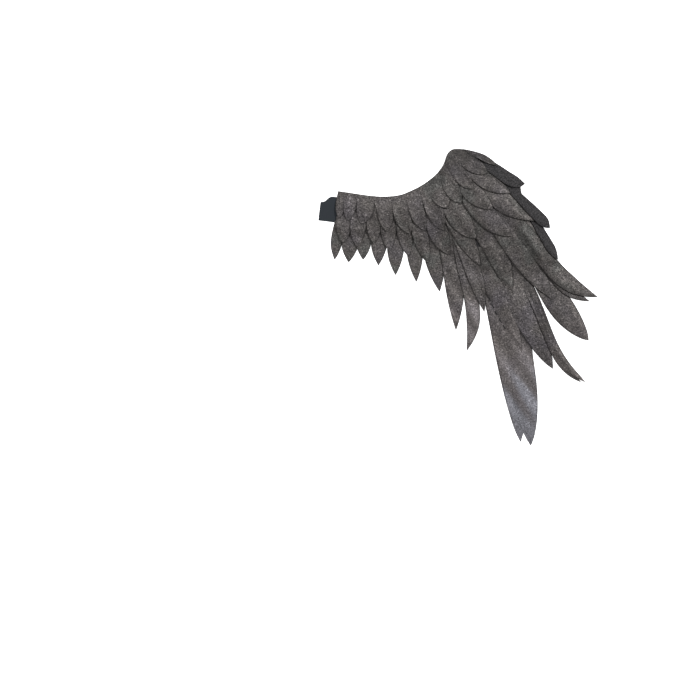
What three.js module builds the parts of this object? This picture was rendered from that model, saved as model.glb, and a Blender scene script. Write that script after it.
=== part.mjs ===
// A feather costume wing: one cloth wing of a pair, lying face up on a flat surface.
// Four rows of leaf-shaped cloth feathers lie on a domed back panel, and a strap tab sticks out at the
// inner end. Millimetres, +Z up, +X towards the outer feathers, +Y towards the top edge.
import * as THREE from "three";

// Driving dimensions
const CLOTH = 1.5; // thickness of every cloth wall, measured straight up
const STRAP = 2; // thickness of the strap tab
const GAP = 0.5; // air between a piece and what it lies on
const RISE_OVER_STRAP = STRAP + GAP; // underside of the panel where the strap runs below it
const COLUMNS_ACROSS = 5; // points across a feather
const SHORT_FEATHER = 130; // up to this length a feather has fewer stations
const SEAM_REACH = 0.5; // share of a first-row feather in which it turns from the seam to square
const STATIONS = { short: 6, long: 9 }; // cross-sections from the root to just before the tip
const TIP_CROWDING = 1.3; // more than 1 moves cross-sections towards the tip
const SLOPE_REACH = 0.25; // share of a station over which the mid-line's direction is taken

// The back panel, from the inner end round the wrist and down the leading edge: the point on its top
// edge, the point on its hidden lower edge, the height of its dome and the height of its rim.
const PANEL_COLUMNS = ["topX", "topY", "lowX", "lowY", "crown", "rim"];
const PANEL_SECTIONS = [
  [-282, 250, -286, 168, 0, RISE_OVER_STRAP],
  [-249, 245, -249, 163, 4, RISE_OVER_STRAP],
  [-207, 239, -211, 161, 8, 1],
  [-172, 237, -174, 158, 9, 0],
  [-136, 241, -136, 154, 10, 0],
  [-108, 252, -103, 145, 12, 0],
  [-80, 267, -70, 135, 14, 0],
  [-52, 289, -38, 121, 17, 0],
  [-35, 312, -7, 107, 19, 0],
  [-27, 334, 12, 98, 21, 0],
  [-18, 345, 26, 92, 22, 0],
  [-5, 349, 40, 86, 23, 0],
  [26, 346, 66, 79, 24, 0],
  [64, 331, 92, 74, 24, 0],
  [110, 302, 118, 72, 23, 0],
  [144, 273, 134, 72, 21, 0],
  [152, 238, 151, 72, 18, 0],
  [184, 205, 170, 74, 14, 0],
  [192, 160, 186, 76, 10, 0],
  [228, 102, 204, 81, 5, 0],
];

// The panel's section: the share of the dome's height at each share of the way from top to lower edge.
const PANEL_PROFILE_COLUMNS = ["across", "height"];
const PANEL_PROFILE = [
  [0, 0],
  [0.06, 0.5],
  [0.16, 0.85],
  [0.32, 1],
  [0.6, 0.75],
  [1, 0],
];

// Feathers of each row, from the inner end outwards: where the root and the tip are, the greatest width,
// how far the mid-line swings to the inner side, and how far along both are greatest.
const FEATHER_COLUMNS = ["rootX", "rootY", "tipX", "tipY", "width", "bow", "belly"];
const FOURTH_ROW = [
  [58, 118, 147, -340, 70, -15, 0.51],
  [114, 139, 171, -349, 59, -1, 0.7],
  [62, 120, 150, -128, 52, 8, 0.38],
  [113, 107, 223, -168, 60, 12, 0.47],
  [131, 76, 289, -199, 21, 18, 0.75],
  [145, 75, 300, -199, 22, 24, 0.7],
  [160, 109, 307, -101, 60, 8, 0.58],
];
const THIRD_ROW = [
  [-281, 180, -290, 88, 27, 0, 0.5],
  [-251, 176, -257, 82, 40, 0, 0.48],
  [-221, 172, -223, 88, 36, 0, 0.46],
  [-185, 172, -187, 75, 38, 0, 0.42],
  [-147, 170, -147, 52, 40, 0, 0.42],
  [-109, 165, -98, 36, 38, -2, 0.42],
  [-79, 162, -43, 13, 43, -5, 0.46],
  [-42, 190, -5, -78, 45, -11, 0.55],
  [-5, 160, 20, -126, 34, -23, 0.68],
  [-5, 147, 62, -35, 37, -8, 0.5],
  [8, 223, 127, 3, 50, -15, 0.55],
  [54, 228, 221, -5, 64, -5, 0.55],
  [118, 222, 311, -9, 30, 26, 0.74],
  [96, 216, 329, 1, 43, 24, 0.69],
  [165, 203, 234, 88, 23, 0, 0.72],
  [56, 272, 181, 179, 50, 10, 0.42],
  [122, 254, 216, 163, 28, 0, 0.79],
];
const SECOND_ROW = [
  [-268, 214, -270, 127, 37, 0, 0.5],
  [-234, 212, -237, 119, 38, 0, 0.48],
  [-198, 222, -198, 126, 36, 0, 0.52],
  [-165, 209, -161, 108, 37, 1, 0.5],
  [-134, 210, -116, 96, 36, 1, 0.5],
  [-101, 216, -70, 80, 38, 4, 0.5],
  [-68, 230, -21, 100, 46, 7, 0.55],
  [-44, 240, 52, 75, 44, 0, 0.5],
  [-31, 241, 41, 138, 50, 6, 0.52],
  [16, 248, 126, 143, 50, 9, 0.5],
  [0, 288, 81, 205, 46, 7, 0.45],
  [19, 314, 122, 244, 42, 8, 0.45],
  [34, 330, 157, 267, 31, 8, 0.76],
];
const FIRST_ROW = [
  [-272, 249, -280, 185, 25, 0, 0.45],
  [-254, 246, -259, 179, 31, -2, 0.45],
  [-221, 241, -227, 172, 42, -5, 0.45],
  [-178, 238, -167, 154, 40, -2, 0.45],
  [-136, 241, -112, 149, 40, 8, 0.5],
  [-104, 254, -76, 156, 37, 8, 0.5],
  [-73, 271, -33, 156, 41, 6, 0.55],
  [-50, 291, -25, 209, 46, 8, 0.55],
  [-34, 313, 8, 221, 36, 8, 0.6],
  [-26, 335, 37, 254, 33, 7, 0.62],
  [-14, 346, 68, 290, 36, 3, 0.6],
  [14, 343, 92, 309, 17, -1, 0.5],
];

// Rows from the back to the front, with the width at the root as a share of the greatest width, how
// rounded the tip is (1 is a plain point, less is rounder), and whether the root lies along the top edge.
const ROWS = [
  { name: "row4", feathers: FOURTH_ROW, rootShare: 0.55, roundness: 0.8, onSeam: false },
  { name: "row3", feathers: THIRD_ROW, rootShare: 0.6, roundness: 1, onSeam: false },
  { name: "row2", feathers: SECOND_ROW, rootShare: 0.7, roundness: 0.85, onSeam: false },
  { name: "row1", feathers: FIRST_ROW, rootShare: 1.15, roundness: 0.8, onSeam: true },
];

// The dark feathers at the leading edge, cut from the panel's cloth.
const DARK_FEATHERS = ["row2_feather_13", "row3_feather_15", "row3_feather_17"];

// The strap tab: where its shoulder starts, the free end before that, how far the shoulder rises and over
// what length, how far the strap runs on under the panel, and the angle it is turned by.
const TAB = { x: -315, y: 202, endLength: 11, endWidth: 45, shoulder: 15, neck: 17, hidden: 50, turn: -0.12 };
const CURVE_STEPS = 6; // straight pieces in the shoulder's curve
const CURVE_PULL = 0.25; // share of the neck at which the curve's control point lies

// How the cloth settles on what lies below it
const CELL = 2; // spacing of the grid that holds the height of the pile
const MARGIN = 2.5; // how far past its edge a piece counts as covering the grid
const REACH = 380; // half the side of the grid
const ROUNDS = 120; // steps of settling
const LAST_ROUNDS = 30; // steps at the end that only lift
const STIFFNESS = 0.12; // how strongly a point follows its neighbours
const SINK = 0.4; // how far a point drops in one step

const glitterCloth = new THREE.MeshStandardMaterial({ color: 0x5f5a58, roughness: 0.8, metalness: 0.1 });
const darkCloth = new THREE.MeshStandardMaterial({ color: 0x3e3e42, roughness: 0.85, metalness: 0 });
const strapWeb = new THREE.MeshStandardMaterial({ color: 0x2f3438, roughness: 0.7, metalness: 0 });

const GRID = Math.round((2 * REACH) / CELL);
const pile = new Float32Array(GRID * GRID); // top of what lies at each spot, 0 on the bare floor

const named = (columns, row) => Object.fromEntries(columns.map((column, i) => [column, row[i]]));
const gridPlace = (value) => (value + REACH) / CELL;
const gridValue = (index) => index * CELL - REACH;

// The height that the underside of a piece must keep at one spot of the grid.
function needAt(cell) {
  return pile[cell] > 0 ? pile[cell] + GAP : 0;
}

// Every grid spot on or near each triangle of a sheet, with its weights on the three corners.
function spotsUnder(points, triangles) {
  const spots = [];
  for (const [a, b, c] of triangles) {
    const [p, q, r] = [points[a], points[b], points[c]];
    const area = (q.x - p.x) * (r.y - p.y) - (r.x - p.x) * (q.y - p.y);
    const slack = [q.distanceTo(r), r.distanceTo(p), p.distanceTo(q)].map((side) => (MARGIN * side) / area);
    const xs = [p.x, q.x, r.x];
    const ys = [p.y, q.y, r.y];
    const from = { i: gridPlace(Math.min(...xs) - MARGIN), j: gridPlace(Math.min(...ys) - MARGIN) };
    const to = { i: gridPlace(Math.max(...xs) + MARGIN), j: gridPlace(Math.max(...ys) + MARGIN) };
    for (let j = Math.ceil(from.j); j <= to.j; j++) {
      for (let i = Math.ceil(from.i); i <= to.i; i++) {
        const x = gridValue(i);
        const y = gridValue(j);
        const wa = ((q.x - x) * (r.y - y) - (r.x - x) * (q.y - y)) / area;
        const wb = ((r.x - x) * (p.y - y) - (p.x - x) * (r.y - y)) / area;
        const wc = 1 - wa - wb;
        if (wa >= -slack[0] && wb >= -slack[1] && wc >= -slack[2]) {
          spots.push({ a, b, c, wa, wb, wc, cell: j * GRID + i });
        }
      }
    }
  }
  return spots;
}

const heightAtSpot = (z, s) => s.wa * z[s.a] + s.wb * z[s.b] + s.wc * z[s.c];

// Adds a sheet to the pile, so that later pieces lie over it.
function layDown(sheet, thickness) {
  for (const spot of spotsUnder(sheet.points, sheet.triangles)) {
    pile[spot.cell] = Math.max(pile[spot.cell], heightAtSpot(sheet.z, spot) + thickness);
  }
}

// The points joined to each point of a sheet by an edge.
function neighboursOf(sheet) {
  const sets = sheet.points.map(() => new Set());
  for (const triangle of sheet.triangles) {
    triangle.forEach((point, k) => {
      sets[point].add(triangle[(k + 1) % 3]);
      sets[point].add(triangle[(k + 2) % 3]);
    });
  }
  return sets.map((set) => [...set]);
}

// Lets a sheet sink onto the pile: each point drops and follows its neighbours, and wherever the sheet
// would come too near the pile the three corners around that spot are lifted.
function settle(sheet) {
  const spots = spotsUnder(sheet.points, sheet.triangles);
  const neighbours = neighboursOf(sheet);
  const lowest = sheet.points.map((p) => {
    return needAt(Math.round(gridPlace(p.y)) * GRID + Math.round(gridPlace(p.x)));
  });
  let z = [...lowest];
  for (let round = 0; round < ROUNDS; round++) {
    if (round < ROUNDS - LAST_ROUNDS) {
      z = z.map((height, i) => {
        const mean = neighbours[i].reduce((sum, n) => sum + z[n], 0) / neighbours[i].length;
        return Math.max(lowest[i], height + STIFFNESS * (mean - height) - SINK);
      });
    }
    for (const s of spots) {
      const short = needAt(s.cell) - heightAtSpot(z, s);
      if (short > 0) {
        const share = short / (s.wa * s.wa + s.wb * s.wb + s.wc * s.wc);
        z[s.a] += Math.max(0, share * s.wa);
        z[s.b] += Math.max(0, share * s.wb);
        z[s.c] += Math.max(0, share * s.wc);
      }
    }
  }
  sheet.z = z;
}

// A closed cloth wall from a sheet: its underside at the sheet's heights, its face straight above.
function wall(sheet, thickness) {
  const count = sheet.points.length;
  const positions = [];
  for (const lift of [0, thickness]) {
    sheet.points.forEach((p, i) => positions.push(p.x, p.y, sheet.z[i] + lift));
  }
  const index = [];
  for (const [a, b, c] of sheet.triangles) {
    index.push(a, c, b, a + count, b + count, c + count);
  }
  sheet.rim.forEach((a, k) => {
    const b = sheet.rim[(k + 1) % sheet.rim.length];
    index.push(a, b, b + count, a, b + count, a + count);
  });
  const geometry = new THREE.BufferGeometry();
  geometry.setAttribute("position", new THREE.Float32BufferAttribute(positions, 3));
  geometry.setIndex(index);
  geometry.computeVertexNormals();
  return geometry;
}

// Triangles of a grid of points, rows one after another, each from the left to the right of the way that
// the rows follow.
function gridTriangles(rows, columns) {
  const triangles = [];
  for (let i = 0; i < rows - 1; i++) {
    for (let j = 0; j < columns - 1; j++) {
      const a = i * columns + j;
      const b = a + columns;
      triangles.push([a, b + 1, b], [a, a + 1, b + 1]);
    }
  }
  return triangles;
}

// Whole numbers from one to another, both counted, up or down.
function range(from, to) {
  const step = Math.sign(to - from);
  return Array.from({ length: Math.abs(to - from) + 1 }, (_, k) => from + step * k);
}

// The edge of such a grid, counter-clockwise seen from above, with an extra tip point after the last row.
function gridRim(rows, columns, tip = []) {
  const left = range(0, rows - 1).map((i) => i * columns);
  const right = left.map((start) => start + columns - 1).reverse();
  const last = tip.length ? tip : range(left[rows - 1] + 1, right[0] - 1);
  const first = range(columns - 2, 1);
  return [...first, ...left, ...last, ...right].reverse();
}

function backPanel() {
  const sections = PANEL_SECTIONS.map((row) => named(PANEL_COLUMNS, row));
  const profile = PANEL_PROFILE.map((row) => named(PANEL_PROFILE_COLUMNS, row));
  const points = [];
  const z = [];
  for (const s of sections) {
    const top = new THREE.Vector2(s.topX, s.topY);
    const low = new THREE.Vector2(s.lowX, s.lowY);
    for (const { across, height } of profile) {
      points.push(top.clone().lerp(low, across));
      z.push(s.rim + s.crown * height);
    }
  }
  const triangles = gridTriangles(sections.length, profile.length);
  return { points, z, triangles, rim: gridRim(sections.length, profile.length) };
}

// The line that the first row is sewn along: the top edge of the panel.
const seam = new THREE.SplineCurve(PANEL_SECTIONS.map(([topX, topY]) => new THREE.Vector2(topX, topY)));
const SEAM_STEPS = 400;
const seamPoints = seam.getSpacedPoints(SEAM_STEPS);
const seamLength = seam.getLength();

// How far along the seam, as a share of its length, the place nearest to a point is.
function seamPlace(point) {
  const gaps = seamPoints.map((p) => p.distanceTo(point));
  return gaps.indexOf(Math.min(...gaps)) / SEAM_STEPS;
}

// A leaf-shaped sheet: stations across its bowed mid-line, then one point at the tip.
function feather(shape, row) {
  const given = new THREE.Vector2(shape.rootX, shape.rootY);
  const place = seamPlace(given);
  const root = row.onSeam ? seam.getPointAt(place) : given;
  const tip = new THREE.Vector2(shape.tipX, shape.tipY);
  const along = tip.clone().sub(root);
  const length = along.length();
  const inward = new THREE.Vector2(along.y, -along.x).normalize();
  const swing = Math.log(0.5) / Math.log(shape.belly);
  const middle = (t) => {
    const bow = shape.bow * Math.sin(Math.PI * t ** swing);
    return root.clone().addScaledVector(along, t).addScaledVector(inward, bow);
  };
  const halfWidth = (t) => {
    const past = (t - shape.belly) / (1 - shape.belly);
    const widening = Math.sin((Math.PI / 2) * Math.min(1, t / shape.belly));
    const towardsTip = (1 - past * past) ** row.roundness;
    const towardsRoot = row.rootShare + (1 - row.rootShare) * widening;
    return (shape.width / 2) * (past > 0 ? towardsTip : towardsRoot);
  };
  const onSeam = (offset) => seam.getPointAt(THREE.MathUtils.clamp(place - offset / seamLength, 0, 1));
  const stations = length < SHORT_FEATHER ? STATIONS.short : STATIONS.long;
  const points = [];
  for (const i of range(0, stations - 1)) {
    const t = 1 - (1 - i / stations) ** TIP_CROWDING;
    const nearby = SLOPE_REACH / stations;
    const way = middle(t + nearby).sub(middle(Math.max(0, t - nearby))).normalize();
    const across = new THREE.Vector2(way.y, -way.x);
    const square = row.onSeam ? Math.min(1, t / SEAM_REACH) : 1;
    for (const j of range(0, COLUMNS_ACROSS - 1)) {
      const offset = ((2 * j) / (COLUMNS_ACROSS - 1) - 1) * halfWidth(t);
      const alongSeam = onSeam(offset).sub(onSeam(0));
      points.push(across.clone().multiplyScalar(offset).lerp(alongSeam, 1 - square).add(middle(t)));
    }
  }
  const tipPoint = points.push(tip) - 1;
  const triangles = gridTriangles(stations, COLUMNS_ACROSS);
  const lastRow = tipPoint - COLUMNS_ACROSS;
  for (const j of range(lastRow, tipPoint - 2)) {
    triangles.push([j, j + 1, tipPoint]);
  }
  return { points, triangles, rim: gridRim(stations, COLUMNS_ACROSS, [tipPoint]) };
}

// The strap tab, drawn with its free end towards -X and then turned and placed.
function strapTab() {
  const { endLength, endWidth, shoulder, neck, hidden } = TAB;
  const outline = new THREE.Shape();
  outline.moveTo(-endLength, -endWidth / 2);
  outline.lineTo(neck + hidden, -endWidth / 2);
  outline.lineTo(neck + hidden, endWidth / 2 + shoulder);
  outline.lineTo(neck, endWidth / 2 + shoulder);
  outline.quadraticCurveTo(CURVE_PULL * neck, endWidth / 2 + shoulder, 0, endWidth / 2);
  outline.lineTo(-endLength, endWidth / 2);
  outline.closePath();
  const corners = outline.getPoints(CURVE_STEPS).slice(0, -1);
  const triangles = THREE.ShapeUtils.triangulateShape(corners, []);
  const place = new THREE.Vector2(TAB.x, TAB.y);
  const points = corners.map((p) => p.clone().rotateAround(new THREE.Vector2(), TAB.turn).add(place));
  return { points, triangles, z: points.map(() => 0), rim: range(0, points.length - 1) };
}

const wing = new THREE.Group();

function add(name, sheet, thickness, material) {
  layDown(sheet, thickness);
  const mesh = new THREE.Mesh(wall(sheet, thickness), material);
  mesh.name = name;
  wing.add(mesh);
}

add("strap_tab", strapTab(), STRAP, strapWeb);
add("back_panel", backPanel(), CLOTH, darkCloth);
for (const row of ROWS) {
  row.feathers.forEach((columns, i) => {
    const name = `${row.name}_feather_${String(i + 1).padStart(2, "0")}`;
    const sheet = feather(named(FEATHER_COLUMNS, columns), row);
    settle(sheet);
    add(name, sheet, CLOTH, DARK_FEATHERS.includes(name) ? darkCloth : glitterCloth);
  });
}

// The origin is under the middle of the wing, on the surface it lies on.
const box = new THREE.Box3().setFromObject(wing);
const middle = box.getCenter(new THREE.Vector3());
wing.position.set(-middle.x, -middle.y, -box.min.z);
wing.updateMatrixWorld(true);

export default wing;
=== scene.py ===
import math

import bmesh
import bpy
import numpy as np
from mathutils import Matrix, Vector
from mathutils.bvhtree import BVHTree


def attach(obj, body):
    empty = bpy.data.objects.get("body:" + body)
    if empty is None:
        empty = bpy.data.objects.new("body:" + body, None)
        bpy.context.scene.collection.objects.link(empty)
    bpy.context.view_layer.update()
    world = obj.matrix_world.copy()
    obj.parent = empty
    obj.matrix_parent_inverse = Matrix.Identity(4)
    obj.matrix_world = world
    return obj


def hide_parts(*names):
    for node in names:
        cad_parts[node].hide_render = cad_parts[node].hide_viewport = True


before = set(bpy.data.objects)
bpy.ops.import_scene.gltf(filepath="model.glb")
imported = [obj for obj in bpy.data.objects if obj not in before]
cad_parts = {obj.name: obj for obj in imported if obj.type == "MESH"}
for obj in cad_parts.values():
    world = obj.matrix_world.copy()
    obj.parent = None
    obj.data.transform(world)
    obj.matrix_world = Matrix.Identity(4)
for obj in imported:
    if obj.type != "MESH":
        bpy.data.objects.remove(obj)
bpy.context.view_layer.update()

# A feather costume wing of cloth, lying face up. Lengths are millimetres until a mesh is made.
MM = 0.001
BODY = "root"
WAVES_PER_SCALE = 20 / (2 * math.pi)  # bands that a wave texture of scale 1 has in one unit

# The cloth
CLOTH = 1.4  # thickness of a feather, a face cloth glued to a lining
STRAP = 2.0  # thickness of the strap
AIR = 0.2  # left between a feather and what it lies on
HUG = 0.1  # left below a pressed edge
EDGE_ROUND = 0.7  # how far in from its cut edge a piece of cloth reaches its full thickness
PRESSED_WIDTH = 14.0  # width of the strip along a pressed edge in which the cloth thins out
PRESSED_THIN = 0.95  # share of its thickness that the cloth loses at a pressed edge
SEAM_REACH = 0.5  # share of a feather in which it turns from its curved seam to straight across
ROW_SPACING = 3.0  # between the cross-sections of a feather
LEAST_ROWS = 26
COLUMNS = 19  # points across a feather
STRAP_CORNER = 2.6  # radius of the corners at the strap's free end
STRAP_ROWS = 60
STRAP_COLUMNS = 25
SHOULDER_EASE = 6  # rows on each side over which the strap's shoulder is rounded
PANEL_ROWS = 150
PANEL_COLUMNS = 42
PANEL_SMOOTHING = 8  # rounds that ease the flat facets of the panel's solid
HEM_WIDTH = 6.0
HEM_HEIGHT = 0.7

# How the cloth settles on the pile below it
CELL = 1.0  # spacing of the grid that holds the height of the pile
REACH = 380.0  # half the side of that grid
CLEAR = 2  # grid spots on each side that a point of cloth stays above
SETTLE_ROUNDS = 220
SINK = 0.05  # how far a point drops in one round

# How the feathers of each row are bent: the rise of the middle over the edges, of the inner edge, of the
# tip and of small puckers, and the height, spacing and slant of the long waves.
FORM_NAMES = ("camber", "inner_lift", "tip_lift", "pucker", "wave", "pitch", "slant")
ROW_FORMS = {
    "row1": (2.0, 0.6, 0.2, 1.1, 0.3, 26, 0.1),
    "row2": (2.6, 0.6, 0.2, 0.5, 0.4, 28, 0.1),
    "row3": (2.6, 0.6, 0.2, 0.5, 0.4, 30, 0.15),
    "row4": (2.4, 0.6, 0.2, 0.5, 0.5, 30, 0.2),
}
FORM_SPREAD = 0.3  # share by which bends differ from feather to feather
FORM_SEED = 7
TINT_SPREAD = 0.05  # how far the tint of the cloth differs from feather to feather
FLAT_PART = (-60, 60)  # root x up to which feathers lie flat, and from which they are fully bent
FLAT_CAMBER = 0.3  # share of the camber that the flat ones have
FLAT_LIFT = 0.8  # share of the lift that their edges have, the inner and the outer one alike
BENT_PART = (0.05, 0.5)  # shares of the length between which a feather takes on its bends
TIP_PART = (0.55, 1.0)  # shares between which its tip lifts
CAMBER_REACH = 1.2  # times the full camber, cut off at 1, so that only the narrow ends have less of it
OUTER_STEEPNESS = 2.6  # more than 2 makes the outer side flatter in the middle and steeper at its edge
PUCKER_SIZE = 6  # half the width of a pucker in grid spots
PUCKER_SEED = 11
WRIST = (220, 320)  # y from which painted shade darkens the cloth over the wrist, and at which it is darkest
WRIST_PAINTED_SHADE = 0.34  # share of its colour that the painted shade takes there
RIM = (0.5, 2.5)  # distances in from an open cut edge between which painted shade stands for its shadow line
RIM_PAINTED_SHADE = 0.45
LOW_PART = (-80, 140)  # y below which the cloth is tinted violet, and above which it isn't
LOW_TINT = 0.1
# The three outermost feathers over the leading edge are cut from the dark lining cloth; their darkness is
# partly painted shade, for lamé turned away from the light.
DARK_FEATHERS = ("row2_feather_13", "row3_feather_15", "row3_feather_17")
SEWN_ROW = "row1"  # its roots are sewn down along the top edge

# Shares of a feather's length: where its inner edge begins to stand open and where it is quite open, then
# where it begins to close again and where it is quite closed. Elsewhere the edge is pressed flat.
NEVER = (2.0, 3.0)
ROW_OPENINGS = {
    "row1": (0.12, 0.45, *NEVER),
    "row2": (0.0, 0.1, *NEVER),
    "row3": (0.0, 0.1, *NEVER),
    "row4": (0.0, 0.1, *NEVER),
}
OPENINGS = {
    "row1_feather_02": (0.1, 0.4, *NEVER),
    "row1_feather_08": (0.55, 0.72, *NEVER),
    "row1_feather_09": (0.25, 0.4, *NEVER),
    "row1_feather_10": (0.22, 0.4, *NEVER),
    "row1_feather_11": (0.42, 0.55, *NEVER),
    "row1_feather_12": (0.3, 0.45, *NEVER),
    "row3_feather_11": (0.0, 0.1, 0.74, 0.9),
    "row3_feather_14": (0.42, 0.55, *NEVER),
    "row4_feather_02": (*NEVER, *NEVER),
    "row4_feather_03": (0.2, 0.3, 0.4, 0.48),
    "row4_feather_04": (0.5, 0.68, *NEVER),
    "row4_feather_05": (0.2, 0.35, *NEVER),
    "row4_feather_06": (0.8, 0.9, *NEVER),
}

# Soft diagonal folds across the long feathers: the way square to the folds, and for each feather how far
# along that way a fold is half-way up, the spacing and the height.
FOLD_WAY = np.array([0.835, 0.551])
FOLDS = {
    "row4_feather_01": (31.3, 46.0, 2.8),
    "row4_feather_02": (31.3, 46.0, 2.8),
    "row4_feather_04": (100.0, 60.0, 3.0),
    "row3_feather_08": (-15.9, 31.0, 1.8),
    "row3_feather_09": (-7.1, 40.0, 2.2),
}
FOLDED_PART = (0.2, 0.5)  # shares of the length between which the folds grow
# The tail is two plies with the same folds: the lowest height of each.
TAIL_LEVELS = {"row4_feather_01": 0.0, "row4_feather_02": CLOTH + AIR}
TAIL_FOLDED_PART = (0.2, 0.4)
TAIL_END = (0.8, 0.96)  # shares between which the folds' height and shading die out

# Feathers with a painted sheen that lightens the cloth towards the tip, for the lamé's shine: how much,
# and the shares where that begins and ends.
PAINTED_SHEENS = {
    "row4_feather_01": (0.8, 0.15, 0.85),
    "row4_feather_02": (0.8, 0.15, 0.85),
    "row3_feather_08": (0.25, 0.4, 0.7),
    "row3_feather_09": (0.55, 0.4, 0.65),
    "row4_feather_03": (0.45, 0.45, 0.9),
    "row4_feather_05": (0.4, 0.5, 0.85),
    "row4_feather_06": (0.4, 0.5, 0.85),
    "row4_feather_07": (0.15, 0.5, 0.85),
}
FOLD_PAINTED_LIGHT = 0.15  # share by which the painted sheen is lighter on the fold slope facing the lamps, darker on the other
# Feathers with painted shade towards the root, where the feathers above shadow them: how much, and the
# shares where that begins to fade and ends.
ROOT_PAINTED_SHADE = {
    "row3_feather_14": (0.12, *NEVER),
    "row4_feather_06": (0.3, 0.3, 0.7),
    "row4_feather_07": (0.2, 0.3, 0.6),
}

# One line of hand stitches holds down the inner edge of a feather: its place and the sizes of a stitch.
STITCHED = "row4_feather_03"
STITCHED_PART = (0.37, 0.64)  # shares of its edge
STITCH_STEPS = 30  # points of the line
STITCH_INSET = 3.6  # in from its edge
STITCH_LENGTH = 13.0
STITCH_PITCH = 18.0
THREAD = 2.8  # doubled thick thread

# Two softboxes above the top edge, each with its place in metres and its power in watts
LAMPS = {"key": ((2.0, 1.8, 3.5), 165), "fill": ((-1.8, 1.9, 3.5), 100)}
LAMP_SIZE = 0.45
ROOM_LIGHT = 0.5
FLOOR_GLOW = 0.85  # light that the paper gives off, for a pure white ground
FLOOR_HALF = 5.0  # half its side in metres

# The photograph's frame
FRAME_PX = 700
MM_PER_PX = 2.35
WING_CENTRE_PX = (458.15, 297.5)
CAMERA_HEIGHT = 6000.0
SENSOR = 36.0


def linear(code):
    """The linear colour of an sRGB hex value."""
    parts = [int(code[i : i + 2], 16) / 255 for i in (1, 3, 5)]
    return tuple(c / 12.92 if c <= 0.04045 else ((c + 0.055) / 1.055) ** 2.4 for c in parts) + (1.0,)


def add_node(tree, kind, inputs=None, **settings):
    """Adds one node with its settings, and gives each named input a value or a link."""
    node = tree.nodes.new(kind)
    for name, value in settings.items():
        setattr(node, name, value)
    for name, value in (inputs or {}).items():
        if isinstance(value, bpy.types.NodeSocket):
            tree.links.new(value, node.inputs[name])
        else:
            node.inputs[name].default_value = value
    return node


def new_material(name):
    """An empty node material with its output, and the output's surface input."""
    material = bpy.data.materials.new(name)
    material.use_nodes = True
    material.node_tree.nodes.clear()
    output = add_node(material.node_tree, "ShaderNodeOutputMaterial")
    return material, material.node_tree, output.inputs["Surface"]


def per_metre(size):
    """A texture scale that gives features of this size in millimetres."""
    return 1 / (size * MM)


def colour_ramp(tree, value, stops):
    """A colour that runs through the hex values of its stops as the value grows."""
    node = add_node(tree, "ShaderNodeValToRGB", {"Fac": value})
    elements = node.color_ramp.elements
    elements.remove(elements[0])
    for k, (position, code) in enumerate(stops.items()):
        element = elements.new(position) if k else elements[0]
        element.position = position
        element.color = linear(code)
    return node.outputs["Color"]


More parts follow.
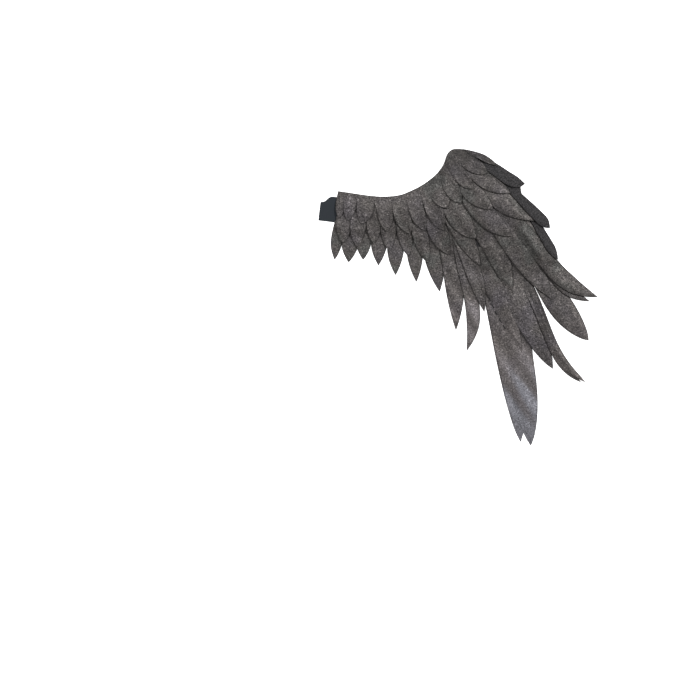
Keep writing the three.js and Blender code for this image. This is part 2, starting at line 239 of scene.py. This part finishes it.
def shimmer_cloth():
    """Knitted lame, dark warm grey with metal thread: a soft sheen over fine light and dark specks, with
    slow drifts of green and violet. The knit is under 1 mm, so its specks are drawn 3 mm wide to show.
    The brightest specks are painted glints, and the colour carries a painted sheen and painted shade from
    the piece's attributes."""
    material, tree, surface = new_material("knitted_lame")
    place = add_node(tree, "ShaderNodeTexCoord").outputs["Object"]
    grain = add_node(
        tree,
        "ShaderNodeTexNoise",
        {"Vector": place, "Scale": per_metre(2.8), "Detail": 1.0, "Roughness": 0.5},
    )
    thread = add_node(
        tree,
        "ShaderNodeTexNoise",
        {"Vector": place, "Scale": per_metre(1.5), "Detail": 1.0, "Roughness": 0.5},
    )
    fine = add_node(
        tree,
        "ShaderNodeMath",
        {0: thread.outputs["Fac"], 1: 0.5, 2: grain.outputs["Fac"]},
        operation="MULTIPLY_ADD",
    )
    tone = add_node(
        tree,
        "ShaderNodeMapRange",
        {"Value": fine.outputs[0], "From Min": 0.5, "From Max": 1.0, "To Min": 0.3, "To Max": 2.5},
    )
    # The specks are the knit's own light and dark threads; at the bright end they are painted glints of
    # the metal thread.
    speck = add_node(tree, "ShaderNodeTexVoronoi", {"Vector": place, "Scale": per_metre(3.4)})
    chance = add_node(tree, "ShaderNodeSeparateColor", {"Color": speck.outputs["Color"]})
    glint = add_node(tree, "ShaderNodeFloatCurve", {"Value": chance.outputs[0]})
    curve = glint.mapping.curves[0]
    curve.points[0].location = (0.0, 0.3)
    curve.points[1].location = (1.0, 0.85)
    curve.points.new(0.3, 0.42)
    curve.points.new(0.8, 0.54)
    shine = add_node(
        tree, "ShaderNodeMath", {0: tone.outputs[0], 1: glint.outputs[0]}, operation="MULTIPLY"
    )
    drift = add_node(
        tree, "ShaderNodeTexNoise", {"Vector": place, "Scale": per_metre(60), "Detail": 1.0}
    )
    tint = add_node(tree, "ShaderNodeAttribute", attribute_name="tint")
    shade = add_node(
        tree, "ShaderNodeMath", {0: drift.outputs["Fac"], 1: tint.outputs["Fac"]}, operation="ADD"
    )
    hues = {0.34: "#4d4c4a", 0.46: "#4f4b49", 0.62: "#4f4b4b", 0.8: "#4f4b4e"}
    hue = colour_ramp(tree, shade.outputs[0], hues)
    # Painted sheen: where the painted sheen attribute is high, the cloth is mixed towards a lighter,
    # bluer grey and its specks are evened out.
    painted_sheen = add_node(tree, "ShaderNodeAttribute", attribute_name="painted_sheen")
    light = colour_ramp(tree, painted_sheen.outputs["Fac"], {0.4: "#736c6a", 0.66: "#746f71", 0.8: "#7a7a81"})
    lit = add_node(
        tree,
        "ShaderNodeMix",
        {"Factor": painted_sheen.outputs["Fac"], "A": hue, "B": light},
        data_type="RGBA",
    )
    calm = add_node(
        tree, "ShaderNodeMapRange", {"Value": painted_sheen.outputs["Fac"], "To Max": 0.45}
    )
    evened = add_node(
        tree, "ShaderNodeMix", {"Factor": calm.outputs[0], "A": shine.outputs[0], "B": 0.75}
    )
    # Painted shade: the colour is darkened by the painted shade attribute.
    painted_shade = add_node(tree, "ShaderNodeAttribute", attribute_name="painted_shade")
    left = add_node(tree, "ShaderNodeMath", {0: 1.0, 1: painted_shade.outputs["Fac"]}, operation="SUBTRACT")
    level = add_node(
        tree, "ShaderNodeMath", {0: evened.outputs[0], 1: left.outputs[0]}, operation="MULTIPLY"
    )
    colour = add_node(
        tree,
        "ShaderNodeVectorMath",
        {0: lit.outputs[2], "Scale": level.outputs[0]},
        operation="SCALE",
    )
    rough = add_node(
        tree,
        "ShaderNodeMapRange",
        {"Value": shine.outputs[0], "From Min": 0.2, "From Max": 1.2, "To Min": 0.6, "To Max": 0.5},
    )
    bump = add_node(
        tree,
        "ShaderNodeBump",
        {"Height": fine.outputs[0], "Strength": 1.0, "Distance": 0.6 * MM},
    )
    shader = add_node(
        tree,
        "ShaderNodeBsdfPrincipled",
        {
            "Base Color": colour.outputs[0],
            "Roughness": rough.outputs[0],
            "Normal": bump.outputs[0],
            "Metallic": 0.55,
            "IOR": 1.5,
            "Specular IOR Level": 0.4,
        },
    )
    tree.links.new(shader.outputs[0], surface)
    return material


def brushed_cloth():
    """Brushed polyester lining, slate black: matt and almost even, with a faint nap."""
    material, tree, surface = new_material("brushed_lining")
    place = add_node(tree, "ShaderNodeTexCoord").outputs["Object"]
    nap = add_node(
        tree,
        "ShaderNodeTexNoise",
        {"Vector": place, "Scale": per_metre(3.2), "Detail": 2.0, "Roughness": 0.6},
    )
    hue = colour_ramp(tree, nap.outputs["Fac"], {0.3: "#151515", 0.5: "#282728", 0.7: "#3b393a"})
    rough = add_node(
        tree,
        "ShaderNodeMapRange",
        {"Value": nap.outputs["Fac"], "From Min": 0.3, "From Max": 0.7, "To Min": 0.9, "To Max": 0.75},
    )
    bump = add_node(
        tree, "ShaderNodeBump", {"Height": nap.outputs["Fac"], "Strength": 0.3, "Distance": 0.4 * MM}
    )
    shader = add_node(
        tree,
        "ShaderNodeBsdfPrincipled",
        {
            "Base Color": hue,
            "Roughness": rough.outputs[0],
            "Normal": bump.outputs[0],
            "Specular IOR Level": 0.12,
        },
    )
    tree.links.new(shader.outputs[0], surface)
    return material


def strap_webbing():
    """Close-woven elastic webbing, blue black: smooth and almost matt, with faint ribs along it."""
    material, tree, surface = new_material("elastic_webbing")
    lay = add_node(tree, "ShaderNodeUVMap", uv_map="cloth")
    ribs = add_node(
        tree,
        "ShaderNodeTexWave",
        {
            "Vector": lay.outputs[0],
            "Scale": per_metre(2.4) / WAVES_PER_SCALE,
            "Distortion": 0.4,
            "Detail": 1.0,
        },
        bands_direction="X",
    )
    hue = colour_ramp(tree, ribs.outputs["Fac"], {0.0: "#1f2327", 1.0: "#22262b"})
    bump = add_node(
        tree, "ShaderNodeBump", {"Height": ribs.outputs["Fac"], "Strength": 0.15, "Distance": 0.2 * MM}
    )
    shader = add_node(
        tree,
        "ShaderNodeBsdfPrincipled",
        {"Base Color": hue, "Roughness": 0.7, "Normal": bump.outputs[0], "Specular IOR Level": 0.15},
    )
    tree.links.new(shader.outputs[0], surface)
    return material


SHIMMER = shimmer_cloth()
LINING = brushed_cloth()
WEBBING = strap_webbing()

# The pile: the height of what lies at each grid spot, and which piece is uppermost there.
SPOTS = int(2 * REACH / CELL) + 1
pile = np.zeros((SPOTS, SPOTS))
uppermost = np.full((SPOTS, SPOTS), -1)
piece_names = []


def stitch_thread():
    """Waxed cotton thread, black: a dull shine over its fine twist."""
    material, tree, surface = new_material("waxed_thread")
    place = add_node(tree, "ShaderNodeTexCoord").outputs["Object"]
    twist = add_node(
        tree, "ShaderNodeTexNoise", {"Vector": place, "Scale": per_metre(0.8), "Detail": 1.0}
    )
    hue = colour_ramp(tree, twist.outputs["Fac"], {0.3: "#060607", 0.7: "#111012"})
    bump = add_node(
        tree, "ShaderNodeBump", {"Height": twist.outputs["Fac"], "Strength": 0.4, "Distance": 0.2 * MM}
    )
    shader = add_node(
        tree,
        "ShaderNodeBsdfPrincipled",
        {"Base Color": hue, "Roughness": 0.6, "Normal": bump.outputs[0], "Specular IOR Level": 0.25},
    )
    tree.links.new(shader.outputs[0], surface)
    return material


def pucker_field():
    """Soft random humps from 0 to 1 over the grid, which runs on at its edges."""
    field = np.random.default_rng(PUCKER_SEED).normal(size=(SPOTS, SPOTS))
    steps = range(-PUCKER_SIZE, PUCKER_SIZE + 1)
    for axis in (0, 1) * 3:
        field = np.mean([np.roll(field, step, axis) for step in steps], axis=0)
    return np.clip(0.5 + field / field.std() / 4, 0, 1)


puckers = pucker_field()


def spots_of(points):
    """Row and column of the grid spot nearest to each point."""
    return tuple(np.rint((points[..., k] + REACH) / CELL).astype(int) for k in (1, 0))


def height_needed(points):
    """The least height that the underside of a piece of cloth may have at each point."""
    rows, columns = spots_of(points)
    first = (rows.min() - CLEAR, columns.min() - CLEAR)
    window = pile[first[0] : rows.max() + CLEAR + 1, first[1] : columns.max() + CLEAR + 1]
    for axis in (0, 1):
        window = np.max([np.roll(window, step, axis) for step in range(-CLEAR, CLEAR + 1)], axis=0)
    found = window[rows - first[0], columns - first[1]]
    return np.where(found > 0, found + AIR, 0.0)


def pile_height(points):
    """The height of the pile at each point, taken between its grid spots."""
    place = (points + REACH) / CELL
    low = np.floor(place).astype(int)
    part = place - low
    found = np.zeros(points.shape[:-1])
    for right in (0, 1):
        for up in (0, 1):
            weight = np.abs(1 - right - part[..., 0]) * np.abs(1 - up - part[..., 1])
            found += weight * pile[low[..., 1] + up, low[..., 0] + right]
    return found


def mean_around(height):
    """The mean of the four neighbours of each spot of a grid."""
    around = np.pad(height, 1, mode="edge")
    return (around[:-2, 1:-1] + around[2:, 1:-1] + around[1:-1, :-2] + around[1:-1, 2:]) / 4


def settled(need, sewn):
    """Heights of a sheet that sinks, stays stiff and rests on the heights it needs."""
    height = need.copy()
    for _ in range(SETTLE_ROUNDS):
        height = np.maximum(need, mean_around(height) - SINK)
        height[-1] = height[-1].max()
        if sewn:
            height[0] = need[0]
    return height


def lay_down(name, points, upper):
    """Adds the upper face of a piece to the pile."""
    piece_names.append(name)
    grid = np.dstack([points, upper])
    for axis in (0, 1):
        count = grid.shape[axis]
        longest = np.linalg.norm(np.diff(grid[..., :2], axis=axis), axis=-1).max()
        steps = math.ceil(2 * longest / CELL)
        at = np.linspace(0, count - 1, (count - 1) * steps + 1)
        low = np.minimum(at.astype(int), count - 2)
        share = np.expand_dims(at - low, [k for k in range(3) if k != axis])
        grid = np.take(grid, low, axis) * (1 - share) + np.take(grid, low + 1, axis) * share
    spots = spots_of(grid)
    np.maximum.at(pile, spots, grid[..., 2])
    uppermost[spots] = len(piece_names) - 1


def upper_edge(name):
    """The edge of a CAD solid's upper face in millimetres, counter-clockwise seen from above."""
    weld = 0.01 * MM
    upward = 0.2
    shape = bmesh.new()
    shape.from_mesh(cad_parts[name].data)
    bmesh.ops.remove_doubles(shape, verts=shape.verts, dist=weld)
    shape.normal_update()
    following = {}
    for face in shape.faces:
        if face.normal.z <= upward:
            continue
        for loop in face.loops:
            if any(other.normal.z <= upward for other in loop.edge.link_faces):
                following[loop.vert] = loop.link_loop_next.vert
    first = min(following, key=lambda vert: vert.co.x)
    ring = [first]
    while following[ring[-1]] is not first:
        ring.append(following[ring[-1]])
    places = np.array([vert.co[:] for vert in ring]) / MM
    shape.free()
    return places


def smooth_line(knots, shares):
    """Points at shares from 0 to 1 of a natural cubic spline through the knots."""
    last = len(knots) - 1
    matrix = np.eye(last + 1)
    pull = np.zeros_like(knots)
    for i in range(1, last):
        matrix[i, i - 1 : i + 2] = (1, 4, 1)
        pull[i] = 6 * (knots[i - 1] - 2 * knots[i] + knots[i + 1])
    bend = np.linalg.solve(matrix, pull)
    low = np.minimum((shares * last).astype(int), last - 1)
    after = (shares * last - low)[:, None]
    before = 1 - after
    line = before * knots[low] + after * knots[low + 1]
    return line + ((before**3 - before) * bend[low] + (after**3 - after) * bend[low + 1]) / 6


def leaf_edges(name):
    """The inner and the outer edge of a feather from root to tip, and its root from inner to outer."""
    ring = upper_edge(name)[:, :2]
    half = len(ring) // 2

    def skewness(i):
        turned = np.roll(ring, -i, axis=0)
        return np.linalg.norm(turned - turned[-np.arange(len(ring))], axis=1).sum()

    def sharpness(i):
        back, on = ring[i - 1] - ring[i], ring[(i + 1) % len(ring)] - ring[i]
        return back @ on / np.linalg.norm(back) / np.linalg.norm(on)

    end = min(range(half), key=skewness)
    tip = max((end, end + half), key=sharpness)
    ring = np.roll(ring, -tip, axis=0)
    stations = half - 2
    inner = np.vstack([ring[-stations:], ring[:1]])
    return inner, ring[stations::-1], ring[-stations : stations - 1 : -1]


def rise(share, start, end):
    """A smooth rise from 0 to 1 between two shares."""
    x = np.clip((share - start) / (end - start), 0, 1)
    return x * x * (3 - 2 * x)


def closed_cloth(name, points, under, upper, materials, lay, tip):
    """A closed piece of cloth whose face and back meet in a rounded edge half-way up its thickness."""
    rows, columns = under.shape
    edge = np.zeros((rows, columns), bool)
    edge[:, [0, -1]] = True
    edge[[0, -1]] = True
    face = np.dstack([points, np.where(edge, (under + upper) / 2, upper)]).reshape(-1, 3)
    back = np.dstack([points, under]).reshape(-1, 3)
    number = np.arange(rows * columns).reshape(rows, columns)
    if tip:
        number[-1] = number[-1, 0]
    behind = np.where(edge, number, number + rows * columns)
    polygons, sides = [], []
    for side, grid in enumerate((number, behind)):
        for i in range(rows - 1):
            for j in range(columns - 1):
                corners = [grid[i, j], grid[i + 1, j], grid[i + 1, j + 1], grid[i, j + 1]]
                corners = list(dict.fromkeys(int(c) for c in corners))
                polygons.append(corners if side == 0 else corners[::-1])
                sides.append(side)
    places = np.vstack([face, back]) * MM
    used = np.unique(np.concatenate(polygons))
    renumbered = np.full(len(places), -1)
    renumbered[used] = np.arange(len(used))
    mesh = bpy.data.meshes.new(name)
    mesh.from_pydata(places[used], [], [[renumbered[c] for c in corners] for corners in polygons])
    for material in materials:
        mesh.materials.append(material)
    mesh.polygons.foreach_set("material_index", [min(side, len(materials) - 1) for side in sides])
    mesh.shade_smooth()
    layout = np.vstack([lay.reshape(-1, 2)] * 2)[used] * MM
    corner_points = np.zeros(len(mesh.loops), int)
    mesh.loops.foreach_get("vertex_index", corner_points)
    mesh.uv_layers.new(name="cloth").data.foreach_set("uv", layout[corner_points].ravel())
    piece = bpy.data.objects.new(name, mesh)
    bpy.context.scene.collection.objects.link(piece)
    return piece, used


def place_sheet(piece, node):
    """Puts a sheet on its body in the place of its CAD node, and hides the node's solid."""
    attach(piece, BODY)
    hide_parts(node)


def leaf_grid(node):
    """Points of a feather in rows from root to tip, with each row's width and distance from the root."""
    inner, outer, root = leaf_edges(node)
    long = np.linalg.norm(root.mean(axis=0) - inner[-1])
    rows = max(LEAST_ROWS, round(long / ROW_SPACING))
    along = np.insert(np.linspace(0, 1, rows), 1, EDGE_ROUND / long)
    inner, outer = smooth_line(inner, along), smooth_line(outer, along)
    widths = np.linalg.norm(outer - inner, axis=1)
    rim = 2 * EDGE_ROUND / widths.max()
    side = np.concatenate([[-1], np.linspace(-1 + rim, 1 - rim, COLUMNS - 2), [1]])
    share = ((1 + side) / 2)[:, None]
    points = inner[:, None] * (1 - share) + outer[:, None] * share
    middle = (inner + outer) / 2
    run = np.concatenate([[0], np.cumsum(np.linalg.norm(np.diff(middle, axis=0), axis=1))])
    curve = smooth_line(root, share[:, 0]) - points[0]
    points = points + curve * (1 - rise(run / run[-1], 0, SEAM_REACH))[:, None, None]
    return points, side[None], widths[:, None], run[:, None]


def feather_lift(node, grid, draw):
    """How far a feather is bent up from where it would settle, and how far its inner edge is pressed."""
    points, side, widths, run = grid
    row = node.split("_")[0]
    share = run / run[-1]
    form = dict(zip(FORM_NAMES, ROW_FORMS[row]))
    for key in ("camber", "inner_lift", "tip_lift", "wave"):
        form[key] *= 1 + FORM_SPREAD * draw.uniform(-1, 1)
    full = rise(points[0, :, 0].mean(), *FLAT_PART)
    form["camber"] *= FLAT_CAMBER + (1 - FLAT_CAMBER) * full
    form["inner_lift"] *= FLAT_LIFT + (1 - FLAT_LIFT) * full
    opens, opened, shuts, shut = OPENINGS.get(node, ROW_OPENINGS[row])
    open_edge = rise(share, opens, opened) * (1 - rise(share, shuts, shut))
    pressed = (1 - open_edge) * (1 - rise((1 + side) / 2 * widths, 0, PRESSED_WIDTH))
    bulge = 1 - np.abs(side) ** np.where(side > 0, OUTER_STEEPNESS, 2)
    lift = form["camber"] * bulge * np.minimum(1, CAMBER_REACH * widths / widths.max())
    shift = draw.integers(SPOTS, size=2)
    rows, columns = spots_of(points)
    humps = puckers[(rows + shift[0]) % SPOTS, (columns + shift[1]) % SPOTS]
    edges = (1 - full) * side**2 + full * ((1 - side) / 2) ** 2
    lift = lift + open_edge * form["inner_lift"] * edges * (0.5 + humps)
    lift = lift + open_edge * form["tip_lift"] * rise(share, *TIP_PART)
    phase = draw.uniform(0, 2 * math.pi)
    ripple = np.sin(2 * math.pi * (side * widths / 2 + run * form["slant"]) / form["pitch"] + phase)
    lift = lift + form["wave"] / 2 * (1 + ripple)
    lift = lift + form["pucker"] * humps
    return lift * rise(share, *BENT_PART) * (1 - pressed), pressed


def fold_phase(node, points):
    """Where on the soft diagonal folds of a long feather each point lies, as an angle."""
    start, pitch, _ = FOLDS[node]
    return 2 * math.pi * (points @ FOLD_WAY - start) / pitch


def fold_height(node, points):
    """The height of those folds."""
    return FOLDS[node][2] / 2 * (1 + np.sin(fold_phase(node, points)))


def face_values(node, grid, pressed, draw):
    """What the face cloth reads at each point: its painted sheen, its tint and its painted shade."""
    points, side, widths, run = grid
    share = run / run[-1]
    painted_sheen = np.zeros(points.shape[:2])
    if node in PAINTED_SHEENS:
        amount, begins, ends = PAINTED_SHEENS[node]
        painted_sheen = painted_sheen + amount * rise(share, begins, ends)
    # Painted light and shade on the folds: the sheen is lighter on the slope that faces the lamps.
    if node in FOLDS:
        slope = np.cos(fold_phase(node, points)) * (1 - rise(share, *TAIL_END))
        painted_sheen = painted_sheen * (1 - FOLD_PAINTED_LIGHT * slope)
    tint = TINT_SPREAD * draw.uniform(-1, 1) + LOW_TINT * (1 - rise(points[..., 1], *LOW_PART))
    # Painted shade: darker over the wrist, along open cut edges and towards some roots.
    rim = 1 - rise((1 - np.abs(side)) * widths / 2, *RIM)
    painted_shade = np.maximum(WRIST_PAINTED_SHADE * rise(points[..., 1], *WRIST), RIM_PAINTED_SHADE * rim * (1 - pressed))
    if node in ROOT_PAINTED_SHADE:
        amount, fades, ends = ROOT_PAINTED_SHADE[node]
        painted_shade = np.maximum(painted_shade, amount * (1 - rise(share, fades, ends)))
    return {"painted_sheen": painted_sheen, "tint": tint, "painted_shade": painted_shade}


def feather(node, draw):
    """One leaf-shaped cloth feather: settled on the pile, bent, made and laid down."""
    grid = leaf_grid(node)
    points, side, widths, run = grid
    share = run / run[-1]
    height = settled(height_needed(points), node.startswith(SEWN_ROW))
    lift, pressed = feather_lift(node, grid, draw)
    height = height + pressed * (pile_height(points) + HUG - height)
    if node in TAIL_LEVELS:
        folds = fold_height(node, points) * (1 - rise(share, *TAIL_END))
        lift = np.maximum(0, TAIL_LEVELS[node] + folds - height) * rise(share, *TAIL_FOLDED_PART)
    elif node in FOLDS:
        lift = lift + fold_height(node, points) * rise(share, *FOLDED_PART) * (1 - pressed)
    lift[-1] = lift[-1].mean()
    under = height + lift
    upper = under + CLOTH * (1 - PRESSED_THIN * pressed)
    lay = np.dstack(np.broadcast_arrays(side * widths / 2, run))
    dark = node in DARK_FEATHERS
    name = node.replace("_feather", "_cloth_feather")
    materials = [LINING] if dark else [SHIMMER, LINING]
    piece, used = closed_cloth(name, points, under, upper, materials, lay, tip=True)
    for attribute, values in face_values(node, grid, pressed, draw).items():
        on_points = np.concatenate([values.ravel()] * 2)[used]
        piece.data.attributes.new(attribute, "FLOAT", "POINT").data.foreach_set("value", on_points)
    lay_down(piece.name, points, upper)
    place_sheet(piece, node)


def spread_out(length, count):
    """Distances from 0 to a length, with one more just inside each end for the rounded edge."""
    return np.concatenate([[0], np.linspace(EDGE_ROUND, length - EDGE_ROUND, count), [length]])


def strap_tab():
    """The strap end: webbing with a shoulder, drawn along its straight lower edge."""
    ring = upper_edge("strap_tab")[:, :2]
    sides = np.roll(ring, -1, axis=0) - ring
    longest = int(np.linalg.norm(sides, axis=1).argmax())
    start = ring[longest]
    way = sides[longest] / np.linalg.norm(sides[longest])
    left = np.array([-way[1], way[0]])
    local = np.stack([(ring - start) @ way, (ring - start) @ left], axis=1)
    top = local[local[:, 1] > STRAP_CORNER]
    top = top[np.lexsort((top[:, 1], top[:, 0]))]
    length = local[:, 0].max()
    along = spread_out(length, STRAP_ROWS)
    width = np.interp(along, top[:, 0], top[:, 1])
    window = np.hanning(2 * SHOULDER_EASE + 3)[1:-1]
    width = np.convolve(np.pad(width, SHOULDER_EASE, mode="edge"), window / window.sum(), "valid")
    cut = STRAP_CORNER - np.sqrt(STRAP_CORNER**2 - np.maximum(0, STRAP_CORNER - along) ** 2)
    across = spread_out(width.max(), STRAP_COLUMNS) / width.max()
    aside = cut[:, None] + (width - 2 * cut)[:, None] * across
    points = (start + along[:, None, None] * way + aside[..., None] * left)[:, ::-1]
    under = np.zeros(points.shape[:2])
    upper = under + STRAP
    lay = np.dstack([aside[:, ::-1], np.broadcast_to(along[:, None], aside.shape)])
    piece, _ = closed_cloth("strap_webbing", points, under, upper, [WEBBING], lay, tip=False)
    lay_down(piece.name, points, upper)
    place_sheet(piece, "strap_tab")


def panel_edges():
    """The top and the lower edge of the back panel, from the inner end to the outer end."""
    ring = upper_edge("back_panel")[:, :2]
    end_points = 4
    stations = len(ring) // 2 - end_points
    ring = np.roll(ring, -int((ring[:, 0] - ring[:, 1]).argmin()), axis=0)
    low = ring[end_points + 1 : end_points + 1 + stations]
    top = np.vstack([ring[:1], ring[: -stations - 1 : -1]])[:stations]
    return top, low


def solid_heights(node, points):
    """The height of a CAD solid's upper face at rows of points, taken just inside its edge."""
    insets = (0.01, 0.03, 0.06)  # shares of the way to the middle of a row, tried in turn
    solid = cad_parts[node].data
    tree = BVHTree.FromPolygons([v.co for v in solid.vertices], [p.vertices for p in solid.polygons])
    height = np.zeros(points.shape[:2])
    for i in range(1, len(points) - 1):
        middle = points[i].mean(axis=0)
        for j, point in enumerate(points[i]):
            for share in insets:
                x, y = (point + share * (middle - point)) * MM
                hit = tree.ray_cast(Vector((x, y, 1)), Vector((0, 0, -1)))[0]
                if hit:
                    height[i, j] = hit.z / MM
                    break
    height[[0, -1]] = height[[1, -2]]
    return height


def back_panel():
    """The domed panel that the feathers are sewn to, with a turned hem along its two long edges."""
    top, low = panel_edges()
    shares = np.linspace(0, 1, PANEL_ROWS)
    top, low = smooth_line(top, shares), smooth_line(low, shares)
    wide = np.linalg.norm(low - top, axis=1)[:, None]
    in_from_top = wide * spread_out(wide.max(), PANEL_COLUMNS) / wide.max()
    share = (in_from_top / wide)[..., None]
    points = top[:, None] * (1 - share) + low[:, None] * share
    height = solid_heights("back_panel", points)
    for _ in range(PANEL_SMOOTHING):
        height[1:-1, 1:-1] = mean_around(height)[1:-1, 1:-1]
    from_edge = np.minimum(in_from_top, wide - in_from_top)
    hem = HEM_HEIGHT * (1 - rise(from_edge, HEM_WIDTH - 1, HEM_WIDTH + 1))
    under = np.maximum(0, height - CLOTH)
    upper = height + hem
    run = np.linalg.norm(np.diff((top + low) / 2, axis=0), axis=1).sum()
    lay = np.dstack([in_from_top, np.broadcast_to(run * shares[:, None], under.shape)])
    grids = [grid[:, ::-1] for grid in (points, under, upper)]
    piece, _ = closed_cloth("panel_cloth", *grids, [LINING], lay[:, ::-1], tip=False)
    lay_down(piece.name, points, upper)
    place_sheet(piece, "back_panel")


def stitch_tree():
    """A node tree that lays stitches along an edge line, and the identifiers of its sizes."""
    tree = bpy.data.node_groups.new("stitches", "GeometryNodeTree")
    tree.interface.new_socket("Line", in_out="INPUT", socket_type="NodeSocketGeometry")
    sizes = {}
    for name in ("Length", "Pitch", "Thread"):
        socket = tree.interface.new_socket(name, in_out="INPUT", socket_type="NodeSocketFloat")
        sizes[name] = socket.identifier
    tree.interface.new_socket("Stitches", in_out="OUTPUT", socket_type="NodeSocketGeometry")
    given = add_node(tree, "NodeGroupInput").outputs
    curve = add_node(tree, "GeometryNodeMeshToCurve", {"Mesh": given["Line"]})
    spots = add_node(
        tree,
        "GeometryNodeCurveToPoints",
        {"Curve": curve.outputs[0], "Length": given["Pitch"]},
        mode="LENGTH",
    )
    turn = add_node(
        tree, "FunctionNodeAlignRotationToVector", {"Vector": spots.outputs["Tangent"]}, axis="X"
    )
    size = add_node(
        tree, "ShaderNodeCombineXYZ", {"X": given["Length"], "Y": given["Thread"], "Z": given["Thread"]}
    )
    stitch = add_node(tree, "GeometryNodeMeshUVSphere", {"Segments": 8, "Rings": 6, "Radius": 0.5})
    placed = add_node(
        tree,
        "GeometryNodeInstanceOnPoints",
        {
            "Points": spots.outputs["Points"],
            "Instance": stitch.outputs["Mesh"],
            "Rotation": turn.outputs[0],
            "Scale": size.outputs[0],
        },
    )
    real = add_node(tree, "GeometryNodeRealizeInstances", {"Geometry": placed.outputs[0]})
    done = add_node(
        tree, "GeometryNodeSetMaterial", {"Geometry": real.outputs[0], "Material": stitch_thread()}
    )
    add_node(tree, "NodeGroupOutput", {"Stitches": done.outputs[0]})
    return tree, sizes


def hand_stitches():
    """The line of stitches along the inner edge of one feather, half sunk in its cloth."""
    inner, outer, _ = leaf_edges(STITCHED)
    shares = np.linspace(*STITCHED_PART, STITCH_STEPS)
    inner, outer = smooth_line(inner, shares), smooth_line(outer, shares)
    across = outer - inner
    line = inner + STITCH_INSET * across / np.linalg.norm(across, axis=1)[:, None]
    places = np.column_stack([line, pile_height(line)]) * MM
    mesh = bpy.data.meshes.new("stitches")
    mesh.from_pydata(places, [(i, i + 1) for i in range(len(places) - 1)], [])
    piece = bpy.data.objects.new("hand_stitches", mesh)
    bpy.context.scene.collection.objects.link(piece)
    tree, sizes = stitch_tree()
    modifier = piece.modifiers.new("stitches", "NODES")
    modifier.node_group = tree
    for name, size in (("Length", STITCH_LENGTH), ("Pitch", STITCH_PITCH), ("Thread", THREAD)):
        modifier[sizes[name]] = size * MM
    evaluated = piece.evaluated_get(bpy.context.evaluated_depsgraph_get())
    sewn = bpy.data.meshes.new_from_object(evaluated)
    piece.modifiers.remove(modifier)
    sewn.materials.pop(index=0)  # the empty slot of the bare stitch
    sewn.shade_smooth()
    piece.data = sewn
    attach(piece, BODY)


def build_wing():
    """All pieces, from the lowest to the uppermost."""
    draw = np.random.default_rng(FORM_SEED)
    strap_tab()
    back_panel()
    names = sorted(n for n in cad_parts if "_feather_" in n)
    for row in ("row4", "row3", "row2", "row1"):
        for node in names:
            if node.startswith(row):
                feather(node, draw)
    hand_stitches()


def build_stage():
    """A pale floor, soft studio light and the camera straight above, framed as the photograph is."""
    corners = [(x * FLOOR_HALF, y * FLOOR_HALF, 0) for x, y in ((-1, -1), (1, -1), (1, 1), (-1, 1))]
    mesh = bpy.data.meshes.new("floor")
    mesh.from_pydata(corners, [], [(0, 1, 2, 3)])
    floor = bpy.data.objects.new("floor", mesh)
    bpy.context.scene.collection.objects.link(floor)
    material, tree, surface = new_material("lit_white_paper")
    white = linear("#f6f6f6")
    shader = add_node(
        tree,
        "ShaderNodeBsdfPrincipled",
        {
            "Base Color": white,
            "Roughness": 0.9,
            "Emission Color": white,
            "Emission Strength": FLOOR_GLOW,
        },
    )
    tree.links.new(shader.outputs[0], surface)
    mesh.materials.append(material)

    world = bpy.data.worlds.new("studio")
    world.use_nodes = True
    background = world.node_tree.nodes["Background"]
    background.inputs["Color"].default_value = (1, 1, 1, 1)
    background.inputs["Strength"].default_value = ROOM_LIGHT
    bpy.context.scene.world = world
    for name, (place, power) in LAMPS.items():
        lamp = bpy.data.lights.new(name, "AREA")
        lamp.size = LAMP_SIZE
        lamp.energy = power
        light = bpy.data.objects.new(name, lamp)
        light.location = place
        light.rotation_euler = (-light.location).to_track_quat("-Z", "Y").to_euler()
        bpy.context.scene.collection.objects.link(light)

    camera = bpy.data.cameras.new("camera")
    camera.sensor_width = SENSOR
    camera.lens = SENSOR * CAMERA_HEIGHT / (FRAME_PX * MM_PER_PX)
    camera.clip_end = 100
    eye = bpy.data.objects.new("camera", camera)
    eye.location = (
        (FRAME_PX / 2 - WING_CENTRE_PX[0]) * MM_PER_PX * MM,
        (WING_CENTRE_PX[1] - FRAME_PX / 2) * MM_PER_PX * MM,
        CAMERA_HEIGHT * MM,
    )
    bpy.context.scene.collection.objects.link(eye)
    bpy.context.scene.camera = eye
    bpy.context.scene.view_settings.view_transform = "Standard"


build_stage()
build_wing()
